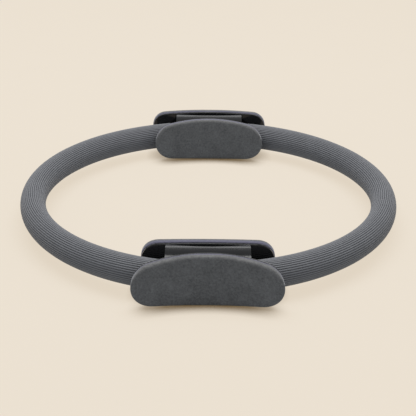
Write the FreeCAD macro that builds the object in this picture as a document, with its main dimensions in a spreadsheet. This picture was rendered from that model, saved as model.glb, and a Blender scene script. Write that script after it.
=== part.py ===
import FreeCAD, Part
import Sketcher
import math
import os

# Pilates ring lying flat on its two handles. Millimetres, +Z up, origin on the floor under the hoop centre.
# The rear handle (+Y) and the right half of the hoop (+X) are built here.
# The front handle and the left half are the same pieces turned half round about Z.

SIZES = [
    # hoop
    ("hoop_radius", 166, "hoop axis, from the centre"),
    ("hoop_height", 20.5, "hoop axis above the floor"),
    ("sleeve_width", 23.6, "foam sleeve across, to the rib crests"),
    ("sleeve_height", 26, "foam sleeve along Z, to the rib crests"),
    ("sleeve_bore", 12.8, "bore of the foam sleeve"),
    ("sleeve_end", 41.5, "sleeve end from the handle's middle, along X"),
    ("rib_count", 40, "lengthwise ribs round the sleeve"),
    ("rib_depth", 0.75, "rib crest to valley"),
    ("band_height", 11, "spring band, across its width"),
    ("band_thickness", 2.3, "one spring band"),
    ("band_gap", 0.2, "between the two bands"),
    ("band_end", 19, "band end from the handle's middle, along X"),
    # handle outline
    ("handle_height", 44.6, "floor to the top of the outer pads"),
    ("inner_height", 44.2, "inner pad, along Z"),
    ("outline_crown", 230, "radius of a handle's top edge"),
    ("outline_base", 370, "radius of a handle's bottom edge"),
    ("rest_flat", 0.4, "depth of the flat that an outer pad rests on"),
    ("outer_width", 124, "outer pad, along X"),
    ("inner_width", 113.4, "inner pad, along X"),
    ("shell_inset", 0.6, "shell edge inside the pad edge, all round"),
    # pads
    ("outer_set", 11, "hoop axis out to the outer pad's face, at its middle"),
    ("hollow_angle", 25.3, "degrees that the outer pad's face turns from its middle to its end"),
    ("inner_set", 26, "hoop axis in to the inner pad's face"),
    ("pad_thickness", 8, "foam pad with its glue"),
    ("pad_crown", 250, "radius of the crown over a pad's height"),
    ("pad_edge", 3.4, "rounding of a pad's front edge"),
    ("glue_line", 0.15, "between a pad and its shell"),
    # shells
    ("shell_wall", 2.2, "plate of a shell, behind the pad"),
    ("shell_edge", 0.9, "rounding of the plate's edge towards the hoop"),
    ("barrel_length", 70, "grip barrel between the shells, along X"),
    ("barrel_height", 41.6, "grip barrel, along Z"),
    ("barrel_crown", 34, "radius of the barrel's top and bottom, front to back"),
    ("barrel_wall", 3, "wall of the grip barrel"),
    ("barrel_edge", 0.6, "rounding of the barrel's long edges at the parting"),
    ("parting_set", 8, "hoop axis in to the parting plane of the barrel"),
    ("parting_gap", 0.2, "between the two barrel halves"),
    ("slot_clearance", 0.4, "round the bands where they enter the barrel"),
    # clamp plate and rivets
    ("clamp_thickness", 3, "clamp plate behind the bands"),
    ("clamp_height", 15, "clamp plate, along Z"),
    ("clamp_length", 62, "clamp plate, along X"),
    ("fit_gap", 0.1, "between pieces that are clamped together"),
    ("clamp_clearance", 0.3, "clamp plate to the ribs beside it"),
    ("clamp_rib", 2, "rib beside the clamp plate"),
    ("web_spacing", 24, "between the two webs behind the clamp plate"),
    ("web_height", 12, "web behind the clamp plate, along Z"),
    ("rivet_diameter", 3.2, "rivet shank"),
    ("rivet_head", 5, "rivet head, across"),
    ("rivet_rise", 1.2, "rivet head, thickness"),
    ("rivet_clearance", 0.15, "round a rivet shank"),
    ("rivet_place", 25.5, "rivets from the handle's middle, along X"),
    ("rivet_spacing", 5.5, "between the two rivets of a band end, along Z"),
    # shell screws
    ("screw_diameter", 3, "screw shank"),
    ("screw_head", 5.5, "screw head, across"),
    ("screw_rise", 2.2, "screw head, thickness"),
    ("seat_set", 2.5, "hoop axis out to the seat of a screw head"),
    ("tip_set", 15.4, "hoop axis in to the tip of a screw"),
    ("screw_clearance", 0.15, "round a screw"),
    ("screw_spacing", 50, "between screws, along X"),
    ("screw_offset", 12.3, "screws above and below the hoop axis"),
    ("boss_wall", 1.25, "boss wall outside a screw head"),
]

doc = FreeCAD.newDocument("pilates_ring")
sheet = doc.addObject("Spreadsheet::Sheet", "Sizes")
for row, (alias, value, note) in enumerate(SIZES, start=1):
    sheet.set(f"A{row}", note)
    sheet.set(f"B{row}", str(value))
    sheet.setAlias(f"B{row}", alias)
doc.recompute()
S = {alias: float(sheet.get(alias)) for alias, value, note in SIZES}

VERTICAL = FreeCAD.Vector(0, 0, 1)
OUTWARD = FreeCAD.Vector(0, 1, 0)
HALF_TURN = FreeCAD.Rotation(VERTICAL, 180)
MIDDLE = S["handle_height"] / 2
WIDE_SECTOR = "90 deg"  # wider than a handle, seen from either axis that its layers curve about

# Distances from the hoop's centre, and the hollow across the outer pad.
OUTER_FACE = "(Sizes.hoop_radius + Sizes.outer_set)"
INNER_FACE = "(Sizes.hoop_radius - Sizes.inner_set)"
PARTING = "(Sizes.hoop_radius - Sizes.parting_set)"
SCREW_SEAT = "(Sizes.hoop_radius + Sizes.seat_set)"
SCREW_TIP = "(Sizes.hoop_radius - Sizes.tip_set)"
OUTER_HOLLOW = "(Sizes.outer_width / 2 / sin(Sizes.hollow_angle * 1 deg))"
HOLLOW_AXIS = f"({OUTER_FACE} + {OUTER_HOLLOW})"


def number(expression):
    """What an expression in the sizes comes to, worked out in a spare cell of the sheet."""
    sheet.set("D1", "=" + expression.replace("Sizes.", ""))
    sheet.recompute()
    return float(sheet.get("D1"))


hollow_axis = number(HOLLOW_AXIS)


def add(kind, name, **expressions):
    """An object of the document, with its sizes bound to the sheet."""
    made = doc.addObject(kind, name)
    for size, expression in expressions.items():
        made.setExpression(size.replace("__", "."), expression)
    return made


def combine(kind, name, pieces):
    made = doc.addObject(kind, name)
    made.Shapes = pieces
    return made


def cut(name, base, tool):
    made = doc.addObject("Part::Cut", name)
    made.Base = base
    made.Tool = tool
    return made


def compound(name, pieces, placement=None):
    made = doc.addObject("Part::Compound", name)
    made.Links = pieces
    if placement:
        made.Placement = placement
    return made


def half_turned(name, piece):
    """The same piece on the other side of the hoop."""
    return compound(name, [piece], FreeCAD.Placement(FreeCAD.Vector(), HALF_TURN))


def rounded(name, base, radius, chosen):
    """Base with the chosen edges rounded."""
    doc.recompute()
    made = doc.addObject("Part::Fillet", name)
    made.Base = base
    edges = enumerate(base.Shape.Edges, start=1)
    made.Edges = [(i, radius, radius) for i, edge in edges if chosen(edge)]
    return made


def box(name, x0, x1, y0, y1, z0, z1):
    """A box between two corners, each given as an expression."""
    return add(
        "Part::Box", name,
        Placement__Base__x=x0, Placement__Base__y=y0, Placement__Base__z=z0,
        Length=f"{x1} - ({x0})", Width=f"{y1} - ({y0})", Height=f"{z1} - ({z0})",
    )


def upright_cylinder(name, radius, axis_y="0"):
    """A tall cylinder on a vertical axis, which trims what lies across a curved wall."""
    return add(
        "Part::Cylinder", name,
        Radius=radius, Height="3 * Sizes.handle_height",
        Placement__Base__y=axis_y, Placement__Base__z="-Sizes.handle_height",
    )


def layer(name, near, far, low, high, angle, hollow=False, crown=None):
    """A curved layer between two radii, turned about Z across the handle's middle.

    With hollow, its axis lies outside the ring, so that it curves the other way.
    With crown, its near face swells over its height with that radius.
    """
    body = doc.addObject("PartDesign::Body", name)
    plane = next(f for f in body.Origin.OriginFeatures if f.Role == "YZ_Plane")
    sketch = body.newObject("Sketcher::SketchObject", name + "_section")
    sketch.AttachmentSupport = [(plane, "")]
    sketch.MapMode = "FlatFace"
    y0, y1, z0, z1 = (number(text) for text in (near, far, low, high))
    corners = [FreeCAD.Vector(y, z, 0) for y, z in ((y0, z0), (y1, z0), (y1, z1), (y0, z1))]
    bulge = S["pad_crown"]
    if crown:
        half = (z1 - z0) / 2
        drop = bulge - math.sqrt(bulge ** 2 - half ** 2)
        corners[0].x += drop
        corners[3].x += drop
    for i in range(3):
        sketch.addGeometry(Part.LineSegment(corners[i], corners[i + 1]))
    if crown:
        centre = FreeCAD.Vector(y0 + bulge, (z0 + z1) / 2, 0)
        sweep = math.asin(half / bulge)
        circle = Part.Circle(centre, VERTICAL, bulge)
        sketch.addGeometry(Part.ArcOfCircle(circle, math.pi - sweep, math.pi + sweep))
    else:
        sketch.addGeometry(Part.LineSegment(corners[3], corners[0]))
    for i in range(3):
        sketch.addConstraint(Sketcher.Constraint("Coincident", i, 2, (i + 1) % 4, 1))
    sketch.addConstraint(Sketcher.Constraint("Coincident", 3, 2, 0, 1))
    for line, way in ((0, "Horizontal"), (1, "Vertical"), (2, "Horizontal")):
        sketch.addConstraint(Sketcher.Constraint(way, line))
    sized = [("far", "DistanceX", 1, 1, y1, far), ("low", "DistanceY", 1, 1, z0, low),
             ("high", "DistanceY", 1, 2, z1, high)]
    if crown:
        sized += [("near", "DistanceX", 3, 3, y0 + bulge, f"{near} + {crown}"),
                  ("middle", "DistanceY", 3, 3, (z0 + z1) / 2, f"(({low}) + ({high})) / 2")]
        radius = sketch.addConstraint(Sketcher.Constraint("Radius", 3, bulge))
        sketch.renameConstraint(radius, "crown")
        sketch.setExpression("Constraints.crown", crown)
    else:
        sketch.addConstraint(Sketcher.Constraint("Vertical", 3))
        sized.append(("near", "DistanceX", 3, 1, y0, near))
    for label, way, geometry, point, value, expression in sized:
        row = sketch.addConstraint(Sketcher.Constraint(way, -1, 1, geometry, point, value))
        sketch.renameConstraint(row, label)
        sketch.setExpression("Constraints." + label, expression)
    turned = body.newObject("PartDesign::Revolution", name + "_turned")
    turned.Profile = sketch
    turned.ReferenceAxis = (sketch, ["V_Axis"])
    turned.Midplane = True
    turned.setExpression("Angle", angle)
    body.Tip = turned
    if hollow:
        body.Placement.Rotation = HALF_TURN
        body.setExpression("Placement.Base.y", HOLLOW_AXIS)
    return body


def tall_layer(name, near, far, hollow, crown=None):
    """A layer well taller and wider than a handle, centred on its mid-height."""
    body = layer(name, near, far, "0", "2 * Sizes.handle_height", WIDE_SECTOR, hollow, crown)
    body.setExpression("Placement.Base.z", "-Sizes.handle_height / 2")
    return body


def oval_prism(name, half_width, half_height, inset=0):
    """An oval outline of arcs that meet smoothly, drawn out along Y from the hoop's centre."""
    a = half_width - inset
    b = half_height - inset
    arcs = []
    for way, size in ((1, "outline_crown"), (-1, "outline_base")):
        long = S[size] - inset
        short = (2 * long * b - a ** 2 - b ** 2) / (2 * (long - a))
        meet = math.atan2(a - short, long - b)
        bisector = (math.pi / 2 - meet) / 2

        def point(x, z):
            return FreeCAD.Vector(way * x, 0, MIDDLE + way * z)

        x_end = a - short + short * math.cos(bisector)
        z_end = short * math.sin(bisector)
        x_meet = long * math.sin(meet)
        z_meet = b - long + long * math.cos(meet)
        arcs += [
            Part.Arc(point(-a, 0), point(-x_end, z_end), point(-x_meet, z_meet)),
            Part.Arc(point(-x_meet, z_meet), point(0, b), point(x_meet, z_meet)),
            Part.Arc(point(x_meet, z_meet), point(x_end, z_end), point(a, 0)),
        ]
    outline = doc.addObject("Part::Feature", name + "_outline")
    outline.Shape = Part.Face(Part.Wire([arc.toShape() for arc in arcs]))
    prism = add("Part::Extrusion", name, LengthFwd=f"{OUTER_FACE} + Sizes.handle_height")
    prism.Base = outline
    prism.Dir = OUTWARD
    prism.DirMode = "Custom"
    prism.Solid = True
    return prism


def loop_at(axis_y, limit, nearer):
    """Picks the edges that lie wholly on the near, or the far, side of a radius about a vertical axis."""
    def chosen(edge):
        places = [v.Point for v in edge.Vertexes]
        places.append(edge.valueAt((edge.FirstParameter + edge.LastParameter) / 2))
        distances = [math.hypot(p.x, p.y - axis_y) for p in places]
        return all((d < limit) == nearer for d in distances)
    return chosen


# The flats above and below the outer pads, which the handles rest on.
REACH = f"({OUTER_FACE} + Sizes.handle_height)"
above = box("above_handles", f"-{REACH}", REACH, f"-{REACH}", REACH,
            "Sizes.handle_height", "2 * Sizes.handle_height")
below = box("below_handles", f"-{REACH}", REACH, f"-{REACH}", REACH, "-Sizes.handle_height", "0")
rest_flats = compound("rest_flats", [above, below])

# Pads: an oval block of foam with a crowned, hollowed face and a rounded front edge.


def pad(name, half_width, half_height, front, hollow, axis_y):
    body = tall_layer(name + "_layer", front, f"{front} + Sizes.pad_thickness - Sizes.glue_line",
                      hollow, "Sizes.pad_crown")
    block = combine("Part::MultiCommon", name + "_block",
                    [oval_prism(name + "_prism", half_width, half_height), body])
    back = number(front) + S["pad_thickness"] - S["glue_line"]
    return rounded(name, block, S["pad_edge"], loop_at(axis_y, back - S["glue_line"], True))


OUTER_OVAL = (S["outer_width"] / 2, MIDDLE + S["rest_flat"])
INNER_OVAL = (S["inner_width"] / 2, S["inner_height"] / 2)
whole_outer_pad = pad("whole_outer_pad", *OUTER_OVAL, OUTER_HOLLOW, True, hollow_axis)
rear_outer_pad = cut("rear_outer_pad", whole_outer_pad, rest_flats)
rear_inner_pad = pad("rear_inner_pad", *INNER_OVAL, INNER_FACE, False, 0)

# Shells: an oval plate behind each pad, which carries one half of the hollow grip barrel.

OUTER_BACK = f"{OUTER_HOLLOW} + Sizes.pad_thickness"
INNER_BACK = f"{INNER_FACE} + Sizes.pad_thickness"
outer_trim = upright_cylinder("outer_floor_trim", f"{OUTER_BACK} + Sizes.shell_wall / 2", HOLLOW_AXIS)
inner_trim = upright_cylinder("inner_floor_trim", f"{INNER_BACK} + Sizes.shell_wall / 2")
outer_cavity_trim = upright_cylinder("outer_cavity_trim", f"{OUTER_BACK} + Sizes.shell_wall", HOLLOW_AXIS)
inner_cavity_trim = upright_cylinder("inner_cavity_trim", f"{INNER_BACK} + Sizes.shell_wall")

BAND_NEAR = "(Sizes.hoop_radius - Sizes.band_gap / 2 - Sizes.band_thickness)"
BAND_FAR = "(Sizes.hoop_radius + Sizes.band_gap / 2 + Sizes.band_thickness)"
CLAMP_FAR = f"({BAND_NEAR} - Sizes.fit_gap)"
CLAMP_NEAR = f"({CLAMP_FAR} - Sizes.clamp_thickness)"
CENTRE_Z = "Sizes.handle_height / 2"


def plate(name, half_width, half_height, back, hollow, axis_y):
    """The oval plate that a pad is glued to, with a rounded edge towards the hoop."""
    block = combine("Part::MultiCommon", name + "_block", [
        oval_prism(name + "_prism", half_width, half_height, S["shell_inset"]),
        tall_layer(name + "_layer", back, f"{back} + Sizes.shell_wall", hollow),
    ])
    middle = number(back) + S["shell_wall"] / 2
    return rounded(name, block, S["shell_edge"], loop_at(axis_y, middle, False))


def along_x_at_parting(edge):
    """The two long edges of a barrel half at the parting plane."""
    a, b = (v.Point for v in edge.Vertexes)
    level = abs(a.y - b.y) < S["fit_gap"] and abs(a.z - b.z) < S["fit_gap"]
    return level and abs(a.y - number(PARTING)) < S["parting_gap"]


HALF_BARREL = "(Sizes.barrel_length / 2)"
HALF_CAVITY = f"({HALF_BARREL} - Sizes.barrel_wall)"
BARREL_LOW = f"({CENTRE_Z} - Sizes.barrel_height / 2)"
BARREL_HIGH = f"({CENTRE_Z} + Sizes.barrel_height / 2)"
OUTER_START = f"({PARTING} + Sizes.parting_gap / 2)"
INNER_START = f"({PARTING} - Sizes.parting_gap / 2)"
OUTER_STOP = f"({OUTER_FACE} + Sizes.pad_thickness)"
INNER_STOP = f"({INNER_FACE} - Sizes.pad_thickness)"
BOSS_RADIUS = "(Sizes.screw_head / 2 + Sizes.screw_clearance + Sizes.boss_wall)"


def along_y(name, x, z, radius, start, stop):
    """A cylinder along Y between two distances from the hoop's centre."""
    made = add("Part::Cylinder", name, Radius=radius, Height=f"{stop} - ({start})",
               Placement__Base__x=x, Placement__Base__y=start, Placement__Base__z=z)
    made.Placement.Rotation = FreeCAD.Rotation(VERTICAL, OUTWARD)
    return made


SCREW_PLACES = [
    (f"{side} * Sizes.screw_spacing / 2", f"Sizes.hoop_height + {level} * Sizes.screw_offset")
    for side in (-1, 1) for level in (-1, 1)
]


def at_screws(name, radius, start, stop):
    """The same cylinder at each of the four screws of a handle."""
    return [along_y(f"{name}_{i}", x, z, radius, start, stop)
            for i, (x, z) in enumerate(SCREW_PLACES, start=1)]


band_slot = layer(
    "band_slot", f"{BAND_NEAR} - Sizes.slot_clearance", f"{BAND_FAR} + Sizes.slot_clearance",
    "Sizes.hoop_height - Sizes.band_height / 2 - Sizes.slot_clearance",
    "Sizes.hoop_height + Sizes.band_height / 2 + Sizes.slot_clearance", WIDE_SECTOR,
)


def along_x(name, radius, z):
    """A long cylinder along X, over the parting plane."""
    made = add("Part::Cylinder", name, Radius=radius, Height="2 * Sizes.barrel_length",
               Placement__Base__x="-Sizes.barrel_length", Placement__Base__y=PARTING, Placement__Base__z=z)
    made.Placement.Rotation = FreeCAD.Rotation(VERTICAL, FreeCAD.Vector(1, 0, 0))
    return made


barrel_top = along_x("barrel_top", "Sizes.barrel_crown", f"{BARREL_HIGH} - Sizes.barrel_crown")
barrel_bottom = along_x("barrel_bottom", "Sizes.barrel_crown", f"{BARREL_LOW} + Sizes.barrel_crown")


def barrel_half(name, start, stop, trim, cavity_trim):
    """The walls of one half of the barrel, from the parting plane into the shell's plate."""
    block = box(name + "_block", f"-{HALF_BARREL}", HALF_BARREL, start, stop, BARREL_LOW, BARREL_HIGH)
    crowned = combine("Part::MultiCommon", name + "_crowned", [block, barrel_top, barrel_bottom])
    smooth = rounded(name + "_rounded", crowned, S["barrel_edge"], along_x_at_parting)
    cavity = box(name + "_cavity_block", f"-{HALF_CAVITY}", HALF_CAVITY, f"{start} - Sizes.barrel_edge",
                 f"{stop} + Sizes.barrel_edge", f"{BARREL_LOW} + Sizes.barrel_wall",
                 f"{BARREL_HIGH} - Sizes.barrel_wall")
    return cut(name, cut(name + "_trimmed", smooth, trim),
               compound(name + "_openings", [cut(name + "_cavity", cavity, cavity_trim), band_slot]))


# Outer shell, with the ribs that the clamp plate and the bands lie between.
outer_ribs = [
    box(f"clamp_rib_{label}", f"-{HALF_BARREL} + Sizes.barrel_wall / 2",
        f"{HALF_BARREL} - Sizes.barrel_wall / 2", OUTER_START, OUTER_STOP, low, f"{low} + Sizes.clamp_rib")
    for label, low in (
        ("above", "(Sizes.hoop_height + Sizes.clamp_height / 2 + Sizes.clamp_clearance)"),
        ("below", "(Sizes.hoop_height - Sizes.clamp_height / 2 - Sizes.clamp_clearance - Sizes.clamp_rib)"),
    )
]
outer_inside = combine("Part::MultiFuse", "outer_inside",
                       outer_ribs + at_screws("outer_boss", BOSS_RADIUS, OUTER_START, OUTER_STOP))
outer_fused = combine("Part::MultiFuse", "outer_fused", [
    plate("outer_plate", *OUTER_OVAL, OUTER_BACK, True, hollow_axis),
    barrel_half("outer_barrel", OUTER_START, OUTER_STOP, outer_trim, outer_cavity_trim),
    cut("outer_inside_trimmed", outer_inside, outer_trim),
])
HEAD_HOLE = "(Sizes.screw_head / 2 + Sizes.screw_clearance)"
SHANK_HOLE = "(Sizes.screw_diameter / 2 + Sizes.screw_clearance)"
outer_holes = combine("Part::MultiFuse", "outer_screw_holes", (
    at_screws("shank_hole", SHANK_HOLE, f"{OUTER_START} - Sizes.screw_rise", OUTER_STOP)
    + at_screws("head_hole", HEAD_HOLE, f"{SCREW_SEAT} - Sizes.screw_clearance", OUTER_STOP)
))
rear_outer_shell = cut("rear_outer_shell", outer_fused, outer_holes)

# Inner shell, with the webs that bear on the clamp plate.
clamp_back = upright_cylinder("clamp_back", f"{CLAMP_NEAR} - Sizes.fit_gap")
webs = [
    box(f"clamp_web_{label}", f"{side} * Sizes.web_spacing / 2 - Sizes.clamp_rib / 2",
        f"{side} * Sizes.web_spacing / 2 + Sizes.clamp_rib / 2", INNER_STOP, BAND_NEAR,
        "Sizes.hoop_height - Sizes.web_height / 2", "Sizes.hoop_height + Sizes.web_height / 2")
    for label, side in (("left", -1), ("right", 1))
]
trimmed_webs = [combine("Part::MultiCommon", web.Name + "_trimmed", [web, clamp_back]) for web in webs]
inner_inside = combine("Part::MultiFuse", "inner_inside",
                       trimmed_webs + at_screws("inner_boss", BOSS_RADIUS, INNER_STOP, INNER_START))
inner_fused = combine("Part::MultiFuse", "inner_fused", [
    plate("inner_plate", *INNER_OVAL, INNER_BACK, False, 0),
    barrel_half("inner_barrel", INNER_STOP, INNER_START, inner_trim, inner_cavity_trim),
    cut("inner_inside_trimmed", inner_inside, inner_trim),
])
inner_holes = combine("Part::MultiFuse", "inner_screw_holes", at_screws(
    "pilot_hole", SHANK_HOLE, f"{SCREW_TIP} - Sizes.screw_clearance", f"{INNER_START} + Sizes.screw_rise",
))
rear_inner_shell = cut("rear_inner_shell", inner_fused, inner_holes)

# Rivets, through the clamp plate and both bands, square to the hoop.


def direction(x, side=1, end=1):
    """The way from the hoop's centre to a place on its axis that lies x from a handle's middle."""
    turn = math.asin(x / S["hoop_radius"])
    return FreeCAD.Vector(side * math.sin(turn), end * math.cos(turn), 0)


def on_hoop(way, rise):
    return FreeCAD.Placement(FreeCAD.Vector(0, 0, S["hoop_height"] + rise), FreeCAD.Rotation(VERTICAL, way))


def spun(name, profile):
    """A body of revolution about its own Z axis, from the corners of half its section."""
    body = doc.addObject("PartDesign::Body", name)
    plane = next(f for f in body.Origin.OriginFeatures if f.Role == "XZ_Plane")
    sketch = body.newObject("Sketcher::SketchObject", name + "_section")
    sketch.AttachmentSupport = [(plane, "")]
    sketch.MapMode = "FlatFace"
    corners = [FreeCAD.Vector(r, z, 0) for r, z in profile]
    for here, there in zip(corners, corners[1:] + corners[:1]):
        sketch.addGeometry(Part.LineSegment(here, there))
    turned = body.newObject("PartDesign::Revolution", name + "_turned")
    turned.Profile = sketch
    turned.ReferenceAxis = (sketch, ["V_Axis"])
    turned.Angle = 360
    body.Tip = turned
    return body


band_far = number(BAND_FAR)
grip_low = number(CLAMP_NEAR) - S["fit_gap"]
grip_high = band_far + S["fit_gap"]
shank = S["rivet_diameter"] / 2
head = S["rivet_head"] / 2
crown_flat = (shank + head) / 2
rivet = spun("rivet", [
    (0, grip_low - S["rivet_rise"]),
    (crown_flat, grip_low - S["rivet_rise"]),
    (head, grip_low - S["rivet_rise"] / 2),
    (head, grip_low),
    (shank, grip_low),
    (shank, grip_high),
    (head, grip_high),
    (head, grip_high + S["rivet_rise"] / 2),
    (crown_flat, grip_high + S["rivet_rise"]),
    (0, grip_high + S["rivet_rise"]),
])
RIVETS = (("upper", S["rivet_spacing"] / 2), ("lower", -S["rivet_spacing"] / 2))
rivet_groups = {}
rivet_holes = {}
for label, side in (("right", 1), ("left", -1)):
    way = direction(S["rivet_place"], side)
    rivet_groups[label] = compound(f"rear_{label}_rivets", [
        compound(f"rear_{label}_{spot}_rivet", [rivet], on_hoop(way, rise)) for spot, rise in RIVETS
    ])
    for end, end_label in ((1, "rear"), (-1, "front")):
        for spot, rise in RIVETS:
            hole = add("Part::Cylinder", f"{end_label}_{label}_{spot}_rivet_hole",
                       Radius="Sizes.rivet_diameter / 2 + Sizes.rivet_clearance",
                       Height="2 * Sizes.hoop_radius")
            hole.Placement = on_hoop(direction(S["rivet_place"], side, end), rise)
            rivet_holes[end_label, label, spot] = hole


def drilled(name, piece, wanted):
    """A clamp plate or a band with its rivet holes."""
    holes = [hole for key, hole in rivet_holes.items() if wanted(key)]
    return cut(name, piece, compound(name + "_holes", holes))


clamp = layer("clamp_bar", CLAMP_NEAR, CLAMP_FAR, "Sizes.hoop_height - Sizes.clamp_height / 2",
              "Sizes.hoop_height + Sizes.clamp_height / 2",
              f"2 * asin(Sizes.clamp_length / 2 / {CLAMP_FAR})")
rear_clamp_plate = drilled("rear_clamp_plate", clamp, lambda key: key[0] == "rear")

# Spring bands of the right half, an inner and an outer leaf.

QUARTER_TURN = FreeCAD.Rotation(VERTICAL, -90)


def band(name, near, far):
    leaf = layer(name + "_leaf", near, far, "Sizes.hoop_height - Sizes.band_height / 2",
                 "Sizes.hoop_height + Sizes.band_height / 2",
                 "180 deg - 2 * asin(Sizes.band_end / Sizes.hoop_radius)")
    leaf.Placement = FreeCAD.Placement(FreeCAD.Vector(), QUARTER_TURN)
    return drilled(name, leaf, lambda key: key[1] == "right")


right_outer_band = band("right_outer_band", f"{BAND_FAR} - Sizes.band_thickness", BAND_FAR)
right_inner_band = band("right_inner_band", BAND_NEAR, f"{BAND_NEAR} + Sizes.band_thickness")

# Foam sleeve of the right half: a ribbed section turned about the hoop's centre.


def ribbed_section():
    """An oval ring of small arcs, one for each rib, round the bore."""
    count = int(S["rib_count"])
    across = S["sleeve_width"] / 2
    upright = S["sleeve_height"] / 2
    valley = 1 - S["rib_depth"] / upright
    step = 2 * math.pi / count

    def point(share, turn):
        return FreeCAD.Vector(S["hoop_radius"] + share * across * math.cos(turn), 0,
                              S["hoop_height"] + share * upright * math.sin(turn))

    ribs = [
        Part.Arc(point(valley, (i - 0.5) * step), point(1, i * step),
                 point(valley, (i + 0.5) * step)).toShape()
        for i in range(count)
    ]
    centre = point(0, 0)
    bore = Part.Circle(centre, FreeCAD.Vector(0, -1, 0), S["sleeve_bore"] / 2).toShape()
    return Part.makeFace([Part.Wire(ribs), Part.Wire([bore])], "Part::FaceMakerBullseye")


section = doc.addObject("Part::Feature", "sleeve_section")
section.Shape = ribbed_section()
right_sleeve = add("Part::Revolution", "right_sleeve",
                   Angle="180 deg - 2 * asin(Sizes.sleeve_end / Sizes.hoop_radius)")
right_sleeve.Source = section
right_sleeve.Axis = VERTICAL
right_sleeve.Symmetric = True
right_sleeve.Solid = True

# Screws, from under the outer pad into the bosses of the inner shell.
tip = number(SCREW_TIP)
seat = number(SCREW_SEAT)
thread = S["screw_diameter"] / 2
cap = S["screw_head"] / 2
screw = spun("screw", [
    (0, tip),
    (thread / 2, tip),
    (thread, tip + thread),
    (thread, seat),
    (cap, seat),
    (cap, seat + S["screw_rise"] / 2),
    ((thread + cap) / 2, seat + S["screw_rise"]),
    (0, seat + S["screw_rise"]),
])
screws = []
for i, (x, z) in enumerate(SCREW_PLACES, start=1):
    place = FreeCAD.Vector(number(x), 0, number(z))
    placement = FreeCAD.Placement(place, FreeCAD.Rotation(VERTICAL, OUTWARD))
    screws.append(compound(f"rear_screw_{i}", [screw], placement))
rear_shell_screws = compound("rear_shell_screws", screws)

# Each piece, and its twin across the hoop.
twins = [
    (rear_outer_pad, "front_outer_pad"),
    (rear_inner_pad, "front_inner_pad"),
    (rear_outer_shell, "front_outer_shell"),
    (rear_inner_shell, "front_inner_shell"),
    (rear_clamp_plate, "front_clamp_plate"),
    (rear_shell_screws, "front_shell_screws"),
    (rivet_groups["right"], "front_left_rivets"),
    (rivet_groups["left"], "front_right_rivets"),
    (right_outer_band, "left_outer_band"),
    (right_inner_band, "left_inner_band"),
    (right_sleeve, "left_sleeve"),
]
parts = []
for piece, twin in twins:
    parts += [piece, half_turned(twin, piece)]
doc.recompute()

for made in doc.Objects:
    if "Invalid" in made.State or "Error" in made.State:
        raise RuntimeError(f"{made.Name} failed: {made.State}")
for piece in parts:
    shape = piece.Shape
    if shape.isNull() or not shape.isValid() or not shape.Solids:
        raise RuntimeError(f"{piece.Name} has no valid solid")
    print(piece.Label, len(shape.Solids), "solids,", round(shape.Volume / 1000, 2), "cm3")

os.makedirs("parts", exist_ok=True)
for piece in parts:
    piece.Shape.exportStep(f"parts/{piece.Label}.step")
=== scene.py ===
import math

import bmesh
import bpy
from mathutils import Matrix, Vector


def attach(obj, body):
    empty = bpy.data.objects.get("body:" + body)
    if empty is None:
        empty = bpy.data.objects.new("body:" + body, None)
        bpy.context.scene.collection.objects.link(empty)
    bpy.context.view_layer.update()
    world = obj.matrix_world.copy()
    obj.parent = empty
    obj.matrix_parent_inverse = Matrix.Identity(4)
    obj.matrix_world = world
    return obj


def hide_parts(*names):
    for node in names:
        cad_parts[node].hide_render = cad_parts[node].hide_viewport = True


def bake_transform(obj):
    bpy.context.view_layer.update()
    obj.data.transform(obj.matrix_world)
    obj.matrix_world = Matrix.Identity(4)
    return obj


# Pilates ring: soft pads, ribbed foam sleeves, bent spring bands and glossy shells
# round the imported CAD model. Metres, in the CAD frame: the ring lies flat on the floor,
# with its front handle at -Y and its rear handle at +Y.

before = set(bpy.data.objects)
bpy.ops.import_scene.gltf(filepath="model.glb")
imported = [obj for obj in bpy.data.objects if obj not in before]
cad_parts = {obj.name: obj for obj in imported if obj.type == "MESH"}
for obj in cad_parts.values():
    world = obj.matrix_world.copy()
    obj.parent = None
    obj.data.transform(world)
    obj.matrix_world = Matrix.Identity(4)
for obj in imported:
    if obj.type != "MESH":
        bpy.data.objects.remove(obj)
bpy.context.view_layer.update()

MM = 0.001
NEAR = 1e-6  # points nearer than this lie on one plane, or are one point
TOUCHING = 1e-7  # points nearer than this are one point of a finished piece

# Hoop
HOOP_RADIUS = 166 * MM
HOOP_HEIGHT = 20.5 * MM
SLEEVE_HALF_WIDTH = 11.8 * MM
SLEEVE_HALF_HEIGHT = 13 * MM
SLEEVE_BORE = 6.4 * MM
SLEEVE_END = 41.5 * MM
RIB_COUNT = 40
RIB_DEPTH = 0.75 * MM
BAND_HEIGHT = 11 * MM
BAND_THICKNESS = 2.3 * MM
BAND_GAP = 0.2 * MM
BAND_END = 19 * MM
BAND_EDGE = 0.35 * MM
SEAM_GAP = 0.01 * MM  # how far each half of a sleeve or band stops short of the plane between them
RIB_PROFILE = (0.0, 0.7, 0.93, 1.0, 0.93, 0.7)  # rise of a rib from valley to crest and back
SLEEVE_STEPS = 66
BORE_SIDES = 40
BAND_STEPS = 40
BAND_EDGE_STEPS = 2
SLEEVE_CREASE = 60  # degrees past which an edge stays sharp
BAND_CREASE = 30

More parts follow.
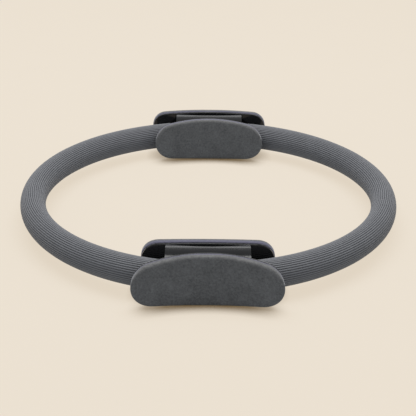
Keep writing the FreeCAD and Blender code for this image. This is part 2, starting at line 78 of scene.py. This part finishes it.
# Handles
HANDLE_HEIGHT = 44.6 * MM
OUTLINE_CROWN = 230 * MM
OUTLINE_BASE = 370 * MM
OUTER_HALF_WIDTH = 62 * MM
OUTER_HALF_HEIGHT = 22.7 * MM
INNER_HALF_WIDTH = 56.7 * MM
INNER_HALF_HEIGHT = 22.1 * MM
OUTER_FACE = 177 * MM
INNER_FACE = 140 * MM
OUTER_TURN = math.radians(25.3)  # from the middle of the outer pad's hollow to its end
OUTER_HOLLOW = OUTER_HALF_WIDTH / math.sin(OUTER_TURN)
PAD_THICKNESS = 7.85 * MM
PAD_CROWN = 250 * MM
PAD_EDGE = 1.8 * MM
PAD_BACK_EDGE = 0.7 * MM
PAD_EDGE_STEPS = 6
PAD_BACK_STEPS = 2
PAD_VOXEL = 0.8 * MM
PAD_SMOOTHING = 0.5
PAD_SMOOTHINGS = 4
LONG_STEPS = 48
SHORT_STEPS = 14
OUTER_SKIN = 0.6  # how deep the suede goes, as a share of the pad's thickness
INNER_SKIN = 0.4
CORE_FADE = 0.2  # how far the skin fades into the core, as a share of the pad's thickness
SHELL_CREASE = 32  # degrees

# Floor and light
FLOOR_SIZE = 12
PAPER_LOW = (0.447, 0.478, 0.502, 1)
PAPER_HIGH = (0.465, 0.498, 0.523, 1)
PAPER_GLOW = (0.913, 0.802, 0.655, 1)
PAPER_EVENNESS = 0.8  # share of the paper's tone that no cast shadow reaches; the painted contact shadow still darkens it
# painted contact shadow: a dark brown that the paper's glow turns to near the handles
PAINTED_CONTACT_SHADOW = (0.17, 0.105, 0.035, 1)
PAINTED_SHADOW_REACH = 15 * MM
PAINTED_SHADOW_SAMPLES = 12
PAINTED_SHADOW_FADE = ((0.5, 1), (0.7, 0.55), (0.86, 0.2), (1, 0))  # depth of the painted contact shadow, from covered to open floor
PAINTED_SHADOW_HANDLE_FADE = ((0.12, 1), (0.28, 0.88), (0.4, 0.6), (0.55, 0))  # keeps the painted contact shadow to the handles; 0.5 is the end of an outer pad
WORLD_TINT = (0.97, 0.98, 1, 1)
WORLD_STRENGTH = 0.45
SOFTBOXES = (  # name, place, width, height and watts
    ("overhead", (0, 0.3, 1.88), 2.0, 1.1, 34),
    ("strip_behind", (0, 2.4, 0.74), 2.4, 0.4, 3.0),
)

# Camera at the photograph's angle: it looks down on the ring from the front, a little tilted
CAMERA_PLACE = Vector((0, -0.94626, 0.44303))
CAMERA_RISE = 0.419957
CAMERA_YAW = 0.0003
CAMERA_PITCH = 0.011895
CAMERA_ROLL = 0.007210
CAMERA_LENS = 93.67
CAMERA_SENSOR = 36

SIDES = (("left", -1), ("right", 1))
ENDS = (("front", -1), ("rear", 1))


# Modelling by hand

def begin(name, primitive, **settings):
    """A new primitive, alone in the selection, placed in its mesh and in edit mode."""
    bpy.ops.object.select_all(action="DESELECT")
    primitive(**settings)
    piece = bpy.context.object
    piece.name = piece.data.name = name
    bpy.ops.object.transform_apply(location=True, rotation=True, scale=True)
    bpy.ops.object.mode_set(mode="EDIT")
    bpy.ops.mesh.select_mode(type="VERT")
    return piece


def choose(piece, mode, wanted):
    """Selects the vertices, edges or faces of the piece in edit mode that pass the test."""
    bpy.ops.mesh.select_mode(type=mode)
    bpy.ops.mesh.select_all(action="DESELECT")
    shape = bmesh.from_edit_mesh(piece.data)
    things = {"VERT": shape.verts, "EDGE": shape.edges, "FACE": shape.faces}[mode]
    for thing in things:
        if wanted(thing):
            thing.select_set(True)
    shape.select_flush_mode()
    bmesh.update_edit_mesh(piece.data)


def close(piece, angle=None):
    """Merges doubles, turns the faces outwards and leaves edit mode, smooth up to an angle."""
    bpy.ops.mesh.select_all(action="SELECT")
    bpy.ops.mesh.remove_doubles(threshold=TOUCHING)
    bpy.ops.mesh.normals_make_consistent(inside=False)
    bpy.ops.object.mode_set(mode="OBJECT")
    if angle:
        bpy.ops.object.shade_smooth_by_angle(angle=math.radians(angle))
    else:
        bpy.ops.object.shade_smooth()


def level_with(edge, depth):
    """Whether both ends of an edge lie at this Y."""
    return all(abs(vertex.co.y - depth) < NEAR for vertex in edge.verts)


def mark(piece, name, measure):
    """Keeps a number for each point of the piece, which its material reads."""
    values = [measure(vertex.co) for vertex in piece.data.vertices]
    piece.data.attributes.new(name, "FLOAT", "POINT").data.foreach_set("value", values)


def modify(piece, kind, **settings):
    """Adds a modifier and applies it."""
    bpy.context.view_layer.objects.active = piece
    modifier = piece.modifiers.new(kind.lower(), kind)
    for key, value in settings.items():
        setattr(modifier, key, value)
    bpy.ops.object.modifier_apply(modifier=modifier.name)


# Finishes

def give(tree, place, value):
    """Sets a socket, or links it where the value comes from another node."""
    if isinstance(value, Value):
        tree.links.new(value.socket, place)
    else:
        place.default_value = value


class Value:
    """A shader socket that takes part in Python sums."""

    def __init__(self, tree, socket):
        self.tree = tree
        self.socket = socket

    def sum(self, operation, first, second):
        made = self.tree.nodes.new("ShaderNodeMath")
        made.operation = operation
        for place, value in zip(made.inputs, (first, second)):
            give(self.tree, place, value)
        return Value(self.tree, made.outputs[0])

    def __add__(self, other):
        return self.sum("ADD", self, other)

    def __radd__(self, other):
        return self.sum("ADD", other, self)

    def __sub__(self, other):
        return self.sum("SUBTRACT", self, other)

    def __rsub__(self, other):
        return self.sum("SUBTRACT", other, self)

    def __mul__(self, other):
        return self.sum("MULTIPLY", self, other)

    def __rmul__(self, other):
        return self.sum("MULTIPLY", other, self)


class Finish:
    """A material made of nodes round one Principled shader."""

    def __init__(self, name):
        self.material = bpy.data.materials.new(name)
        self.material.use_nodes = True
        self.tree = self.material.node_tree
        self.shader = self.tree.nodes["Principled BSDF"]
        self.place = self.node("TexCoord", output="Object")

    def node(self, kind, sockets=None, settings=None, output=0):
        """Any node, from its type, its settings and its sockets' values or links."""
        made = self.tree.nodes.new("ShaderNode" + kind)
        for key, value in (settings or {}).items():
            if key == "stops":
                ramp = made.color_ramp.elements
                while len(ramp) < len(value):
                    ramp.new(0.5)
                for stop, (position, shade) in zip(ramp, value):
                    stop.position = position
                    stop.color = (shade, shade, shade, 1)
            else:
                setattr(made, key, value)
        for key, value in (sockets or {}).items():
            give(self.tree, made.inputs[key], value)
        return Value(self.tree, made.outputs[output])

    def noise(self, size, detail=3, roughness=0.55):
        """Noise whose grains are about the given size."""
        return self.node("TexNoise", {
            "Vector": self.place, "Scale": 1 / size, "Detail": detail, "Roughness": roughness,
        })

    def attribute(self, name):
        """The number that the piece keeps at each point under this name."""
        return self.node("Attribute", settings={"attribute_name": name}, output="Fac")

    def ramp(self, value, *stops):
        """A value led through a ramp of grey stops."""
        return self.node("ValToRGB", {"Fac": value}, {"stops": stops})

    def blend(self, share, first, second):
        """A colour between two colours."""
        return self.node("Mix", {0: share, 6: first, 7: second}, {"data_type": "RGBA"}, 2)

    def bump(self, height, distance, strength=1.0):
        """A normal raised by a height, up to the given distance."""
        return self.node("Bump", {"Height": height, "Distance": distance, "Strength": strength})

    def set(self, **sockets):
        """Feeds the shader's sockets, and gives the material."""
        for key, value in sockets.items():
            give(self.tree, self.shader.inputs[key.replace("_", " ")], value)
        return self.material


def grey(level, cool=0.0):
    """A near-neutral colour, a little bluer with cool."""
    return (level * (1 - cool), level * (1 - cool / 2), level * (1 + cool), 1)


SUEDE_SHADES = (grey(0.096), grey(0.184))
SUEDE_SHEEN = (0.97, 0.97, 1.0, 1)
CORE_SHADES = ((0.100, 0.098, 0.140, 1), (0.140, 0.137, 0.192, 1))
SLEEVE_SHADES = (grey(0.144, 0.05), grey(0.211, 0.05))
# painted shade: a near-black laid into the sleeve's rib valleys, and how much of it is used
PAINTED_VALLEY_SHADE = grey(0.015, 0.05)
PAINTED_VALLEY_SHADE_SHARE = 0.6
SHELL_SHADES = (grey(0.005, 0.05), grey(0.009, 0.05))
FIBRE_SHADES = (grey(0.02), grey(0.045))
FIBRE_STREAK = (60, 60, 2200)
STEEL_SHADES = (grey(0.48, 0.03), grey(0.62, 0.02))


def pad_foam():
    """Dark grey suede, napped and faintly mottled, over a violet-grey foam core that shows behind."""
    f = Finish("pad_foam")
    nap = f.noise(0.5 * MM, 2)
    mottle = f.noise(1.9 * MM, 3)
    cloud = f.noise(14 * MM, 2)
    tone = nap * 0.4 + mottle * 0.4 + cloud * 0.2
    share = f.ramp(tone, (0.38, 0), (0.62, 1))
    suede = f.blend(share, *SUEDE_SHADES)
    cells = f.noise(0.35 * MM, 3)
    foam = f.blend(cells, *CORE_SHADES)
    core = f.ramp(f.attribute("core") + (mottle - 0.5) * 0.1, (0, 0), (1, 1))
    return f.set(
        Base_Color=f.blend(core, suede, foam),
        Roughness=0.88 + 0.1 * nap - 0.22 * core,
        Specular_IOR_Level=0.3,
        Sheen_Weight=0.45,
        Sheen_Roughness=0.35,
        Sheen_Tint=SUEDE_SHEEN,
        Normal=f.bump(nap * 0.6 + mottle * 0.4, 0.22 * MM, 0.5),
    )


def sleeve_foam():
    """Grey skinned foam, satin, finely pebbled, with painted shade darkening the valleys between its
    ribs.
    """
    f = Finish("sleeve_foam")
    pebble = f.noise(0.6 * MM, 2)
    cloud = f.noise(9 * MM, 2)
    skin = f.blend(pebble * 0.55 + cloud * 0.45, *SLEEVE_SHADES)
    # painted shade in the rib valleys, strongest at the valley floor; the valleys are also rougher
    valley = f.ramp(f.attribute("rise"), (0.1, 1), (0.95, 0))
    return f.set(
        Base_Color=f.blend(valley * PAINTED_VALLEY_SHADE_SHARE, skin, PAINTED_VALLEY_SHADE),
        Roughness=0.46 + 0.16 * pebble + 0.3 * valley,
        Specular_IOR_Level=0.5,
        Normal=f.bump(pebble, 0.1 * MM, 0.4),
    )


def shell_plastic():
    """Black glossy moulded plastic with faint handling haze and a trace of mould texture."""
    f = Finish("shell_plastic")
    haze = f.noise(14 * MM, 4)
    grain = f.noise(0.5 * MM, 2)
    return f.set(
        Base_Color=f.blend(haze, *SHELL_SHADES),
        Roughness=0.09 + 0.08 * haze,
        Specular_IOR_Level=0.35,
        Normal=f.bump(grain, 0.04 * MM, 0.1),
    )


def spring_fibre():
    """Dark fibre strip with long fine streaks."""
    f = Finish("spring_fibre")
    streak = f.node("TexNoise", {
        "Vector": f.node("Mapping", {"Vector": f.place, "Scale": FIBRE_STREAK}),
        "Scale": 1.0, "Detail": 3,
    })
    return f.set(
        Base_Color=f.blend(streak, *FIBRE_SHADES),
        Roughness=0.45 + 0.15 * streak,
        Normal=f.bump(streak, 0.05 * MM, 0.3),
    )


def steel():
    """Zinc-plated steel with a fine drawn grain."""
    f = Finish("zinc_steel")
    grain = f.noise(0.4 * MM, 3)
    cloud = f.noise(5 * MM, 2)
    return f.set(
        Base_Color=f.blend(cloud, *STEEL_SHADES),
        Metallic=1.0,
        Roughness=0.28 + 0.18 * grain,
        Normal=f.bump(grain, 0.04 * MM, 0.25),
    )


def floor_paper():
    """Cream studio paper at one even tone, with a light shadow, and a painted shadow that deepens it
    under the handles.
    """
    f = Finish("floor_paper")
    fibre = f.noise(60 * MM, 2)
    f.set(
        Base_Color=f.blend(fibre, PAPER_LOW, PAPER_HIGH),
        Roughness=0.95,
        Specular_IOR_Level=0.0,
    )
    seen = sum((f.node("LightPath", output=f"Is {kind} Ray") for kind in ("Glossy", "Transmission")),
               f.node("LightPath", output="Is Camera Ray"))
    # painted contact shadow: where ambient occlusion finds the floor covered near a handle, the glow
    # turns dark brown
    openness = f.node("AmbientOcclusion", {"Distance": PAINTED_SHADOW_REACH},
                      {"samples": PAINTED_SHADOW_SAMPLES}, "AO")
    across = f.node("SeparateXYZ", {0: f.place})
    from_middle = across.sum("ABSOLUTE", across, 0) * (0.5 / OUTER_HALF_WIDTH)
    at_handles = f.ramp(from_middle, *PAINTED_SHADOW_HANDLE_FADE)
    painted_shadow_share = f.ramp(openness, *PAINTED_SHADOW_FADE) * at_handles
    paper_glow_and_painted_shadow = f.node("Emission", {"Color": f.blend(painted_shadow_share, PAPER_GLOW, PAINTED_CONTACT_SHADOW), "Strength": 1.0})
    lit = Value(f.tree, f.shader.outputs[0])
    paper = f.node("MixShader", {0: seen * PAPER_EVENNESS, 1: lit, 2: paper_glow_and_painted_shadow})
    give(f.tree, f.tree.nodes["Material Output"].inputs["Surface"], paper)
    return f.material


SUEDE = pad_foam()
FOAM = sleeve_foam()
PLASTIC = shell_plastic()
FIBRE = spring_fibre()
STEEL = steel()


def finished(piece, material, slot, *nodes):
    """Gives a new piece its material and hides the CAD nodes that it stands for; the slot is not used.
    """
    piece.data.materials.clear()
    piece.data.materials.append(material)
    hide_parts(*nodes)


# Hoop: foam sleeves and spring bands

def sweep(side, end, stop, steps):
    """Turns what is selected about the hoop's centre, from the seam towards a handle."""
    turn = math.pi / 2 - math.asin(stop / HOOP_RADIUS)
    middle = (0, 0, HOOP_HEIGHT)
    bpy.ops.mesh.spin(steps=steps, angle=-side * end * turn, center=middle, axis=(0, 0, 1))


def bent(piece):
    """Bakes the piece's placement into its mesh."""
    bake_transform(piece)


def rib_rise(point):
    """How high a point of a sleeve lies: 1 on a rib's crest, 0 in a valley or the bore."""
    across = (math.hypot(point.x, point.y) - HOOP_RADIUS) / SLEEVE_HALF_WIDTH
    upright = (point.z - HOOP_HEIGHT) / SLEEVE_HALF_HEIGHT
    return max(0, 1 - (1 - math.hypot(across, upright)) * SLEEVE_HALF_HEIGHT / RIB_DEPTH)


def sleeve_half(side_name, side, end_name, end):
    """Half a foam sleeve: a ribbed ring and a bore, each swept, and the ends between them filled."""
    centre = (side * HOOP_RADIUS, end * SEAM_GAP, HOOP_HEIGHT)
    upright = (math.pi / 2, 0, 0)
    piece = begin(f"{side_name}_sleeve_{end_name}", bpy.ops.mesh.primitive_circle_add,
                  vertices=RIB_COUNT * len(RIB_PROFILE), radius=SLEEVE_HALF_HEIGHT,
                  location=centre, rotation=upright)
    for step, rise in enumerate(RIB_PROFILE):
        choose(piece, "VERT", lambda v: v.index % len(RIB_PROFILE) == step)
        size = 1 - (1 - rise) * RIB_DEPTH / SLEEVE_HALF_HEIGHT
        bpy.ops.transform.resize(value=(size, size, size), center_override=centre)
    bpy.ops.mesh.select_all(action="SELECT")
    narrow = SLEEVE_HALF_WIDTH / SLEEVE_HALF_HEIGHT
    bpy.ops.transform.resize(value=(narrow, 1, 1), center_override=centre)
    sweep(side, end, SLEEVE_END, SLEEVE_STEPS)
    bpy.ops.mesh.select_all(action="DESELECT")
    bpy.ops.mesh.primitive_circle_add(vertices=BORE_SIDES, radius=SLEEVE_BORE,
                                      location=centre, rotation=upright)
    sweep(side, end, SLEEVE_END, SLEEVE_STEPS)
    for at_seam in (True, False):
        choose(piece, "EDGE", lambda e: e.is_boundary and at_seam == level_with(e, centre[1]))
        bpy.ops.mesh.fill(use_beauty=False)
    close(piece, SLEEVE_CREASE)
    # the rise tells the sleeve's material where to paint shade into the rib valleys
    mark(piece, "rise", rib_rise)
    finished(piece, FOAM, "sleeve_foam", f"{side_name}_sleeve")
    bent(piece)


def band_half(side_name, side, end_name, end, leaf, near):
    """Half a spring band: its section swept from the seam into the handle."""
    centre = (side * (near + BAND_THICKNESS / 2), end * SEAM_GAP, HOOP_HEIGHT)
    piece = begin(f"{side_name}_{leaf}_band_{end_name}", bpy.ops.mesh.primitive_plane_add,
                  size=1, location=centre, rotation=(math.pi / 2, 0, 0))
    bpy.ops.transform.resize(value=(BAND_THICKNESS, 1, BAND_HEIGHT), center_override=centre)
    sweep(side, end, BAND_END, BAND_STEPS)
    choose(piece, "EDGE", lambda e: e.is_boundary)
    bpy.ops.mesh.edge_face_add()
    close(piece, BAND_CREASE)
    modify(piece, "BEVEL", width=BAND_EDGE, segments=BAND_EDGE_STEPS, limit_method="ANGLE")
    finished(piece, FIBRE, "spring_fibre", f"{side_name}_{leaf}_band")
    bent(piece)


for side_name, side in SIDES:
    for end_name, end in ENDS:
        sleeve_half(side_name, side, end_name, end)
        band_half(side_name, side, end_name, end, "outer", HOOP_RADIUS + BAND_GAP / 2)
        band_half(side_name, side, end_name, end, "inner", HOOP_RADIUS - BAND_GAP / 2 - BAND_THICKNESS)


# Pads

def oval(name, half_width, half_height):
    """A handle's outline, filled in: long arcs above and below that run into short ones at the ends."""
    piece = begin(name, bpy.ops.mesh.primitive_plane_add, size=MM, location=(-half_width, 0, 0))
    bpy.ops.mesh.merge(type="CENTER")
    for way, long in ((1, OUTLINE_CROWN), (-1, OUTLINE_BASE)):
        rise = 2 * long * half_height - half_width ** 2 - half_height ** 2
        short = rise / (2 * (long - half_width))
        meet = math.atan2(half_width - short, long - half_height)
        for x, z, turn, steps in (
            (short - half_width, 0, math.pi / 2 - meet, SHORT_STEPS),
            (0, half_height - long, 2 * meet, LONG_STEPS),
            (half_width - short, 0, math.pi / 2 - meet, SHORT_STEPS),
        ):
            bpy.ops.mesh.spin(steps=steps, angle=-turn, center=(way * x, 0, way * z), axis=(0, 1, 0))
    bpy.ops.mesh.select_all(action="SELECT")
    bpy.ops.mesh.remove_doubles(threshold=NEAR)
    bpy.ops.mesh.edge_face_add()
    return piece


def pad(end_name, end, layer, half_width, half_height, face, skin, across):
    """A foam pad: an oval slab with a soft edge, then hollowed across and crowned over its height."""
    piece = oval(f"{end_name}_{layer}_pad_foam", half_width, half_height)
    bpy.ops.mesh.extrude_region_move(TRANSFORM_OT_translate={"value": (0, PAD_THICKNESS, 0)})
    bpy.ops.mesh.select_all(action="SELECT")
    bpy.ops.mesh.normals_make_consistent(inside=False)
    for depth, width, segments in (
        (0, PAD_EDGE, PAD_EDGE_STEPS),
        (PAD_THICKNESS, PAD_BACK_EDGE, PAD_BACK_STEPS),
    ):
        choose(piece, "EDGE", lambda e: level_with(e, depth))
        bpy.ops.mesh.bevel(offset=width, segments=segments, profile=0.5)
    close(piece)
    modify(piece, "REMESH", mode="VOXEL", voxel_size=PAD_VOXEL, use_smooth_shade=True)
    modify(piece, "SMOOTH", factor=PAD_SMOOTHING, iterations=PAD_SMOOTHINGS)
    mark(piece, "core", lambda point: (point.y / PAD_THICKNESS - skin) / CORE_FADE)
    for vertex in piece.data.vertices:
        x, depth, z = vertex.co
        swell = PAD_CROWN - math.sqrt(PAD_CROWN ** 2 - z ** 2)
        radius = face + depth + swell * (1 - depth / PAD_THICKNESS)
        height = min(max(HANDLE_HEIGHT / 2 + z, 0), HANDLE_HEIGHT)
        vertex.co = (end * x, end * across(radius, x), height)
    bpy.ops.object.mode_set(mode="EDIT")
    close(piece)
    finished(piece, SUEDE, "pad_foam", f"{end_name}_{layer}_pad")
    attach(piece, f"{end_name}_handle")


for end_name, end in ENDS:
    pad(end_name, end, "outer", OUTER_HALF_WIDTH, OUTER_HALF_HEIGHT, OUTER_HOLLOW, OUTER_SKIN,
        lambda radius, x: OUTER_FACE + OUTER_HOLLOW - math.sqrt(radius ** 2 - x ** 2))
    pad(end_name, end, "inner", INNER_HALF_WIDTH, INNER_HALF_HEIGHT, INNER_FACE, INNER_SKIN,
        lambda radius, x: math.sqrt(radius ** 2 - x ** 2))


# Shells and fasteners

def dressed_copy(node, material, slot, body):
    """A copy of a CAD node with its triangles joined, so that its rounded edges shade smoothly."""
    bpy.ops.object.select_all(action="DESELECT")
    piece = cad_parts[node].copy()
    piece.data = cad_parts[node].data.copy()
    piece.name = piece.data.name = f"{node}_moulding"
    bpy.context.collection.objects.link(piece)
    piece.parent = None
    piece.matrix_world = Matrix()
    piece.select_set(True)
    bpy.context.view_layer.objects.active = piece
    bpy.ops.object.mode_set(mode="EDIT")
    bpy.ops.mesh.select_all(action="SELECT")
    bpy.ops.mesh.customdata_custom_splitnormals_clear()
    bpy.ops.mesh.remove_doubles(threshold=NEAR)
    bpy.ops.object.mode_set(mode="OBJECT")
    bpy.ops.object.shade_smooth_by_angle(angle=math.radians(SHELL_CREASE))
    finished(piece, material, slot, node)
    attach(piece, body)


for end_name, _ in ENDS:
    body = f"{end_name}_handle"
    for layer in ("outer", "inner"):
        dressed_copy(f"{end_name}_{layer}_shell", PLASTIC, "shell_plastic", body)
    for fastener in ("clamp_plate", "shell_screws", "left_rivets", "right_rivets"):
        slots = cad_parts[f"{end_name}_{fastener}"].data.materials
        slots.clear()
        slots.append(STEEL)


# Studio

bpy.ops.object.select_all(action="DESELECT")
bpy.ops.mesh.primitive_plane_add(size=FLOOR_SIZE)
floor = bpy.context.object
floor.name = "floor"
floor.data.materials.append(floor_paper())


def softbox(name, place, width, height, power):
    """A soft light that faces the ring."""
    light = bpy.data.lights.new(name, "AREA")
    light.shape = "RECTANGLE"
    light.size = width
    light.size_y = height
    light.energy = power
    lamp = bpy.data.objects.new(name, light)
    lamp.location = place
    lamp.rotation_euler = (-Vector(place)).to_track_quat("-Z", "Y").to_euler()
    bpy.context.collection.objects.link(lamp)


for box in SOFTBOXES:
    softbox(*box)

world = bpy.data.worlds.new("studio")
bpy.context.scene.world = world
world.use_nodes = True
surround = world.node_tree.nodes["Background"].inputs
surround["Color"].default_value = WORLD_TINT
surround["Strength"].default_value = WORLD_STRENGTH
bpy.context.scene.view_settings.view_transform = "Standard"

# The camera's own axes, turned a little by its yaw, pitch and roll
back = Vector((0, -math.cos(CAMERA_RISE), math.sin(CAMERA_RISE)))
right = Vector((1, 0, 0))
up = back.cross(right)
back = (back + math.tan(CAMERA_YAW) * right + math.tan(CAMERA_PITCH) * up).normalized()
level = Vector((0, 0, 1)).cross(back).normalized()
upright = back.cross(level)
right = math.cos(CAMERA_ROLL) * level + math.sin(CAMERA_ROLL) * upright
up = math.cos(CAMERA_ROLL) * upright - math.sin(CAMERA_ROLL) * level
lens = bpy.data.cameras.new("camera")
lens.lens = CAMERA_LENS
lens.sensor_width = CAMERA_SENSOR
camera = bpy.data.objects.new("camera", lens)
facing = Matrix((right, up, back)).transposed().to_4x4()
camera.matrix_world = Matrix.Translation(CAMERA_PLACE) @ facing
bpy.context.collection.objects.link(camera)
bpy.context.scene.camera = camera

bpy.context.view_layer.update()
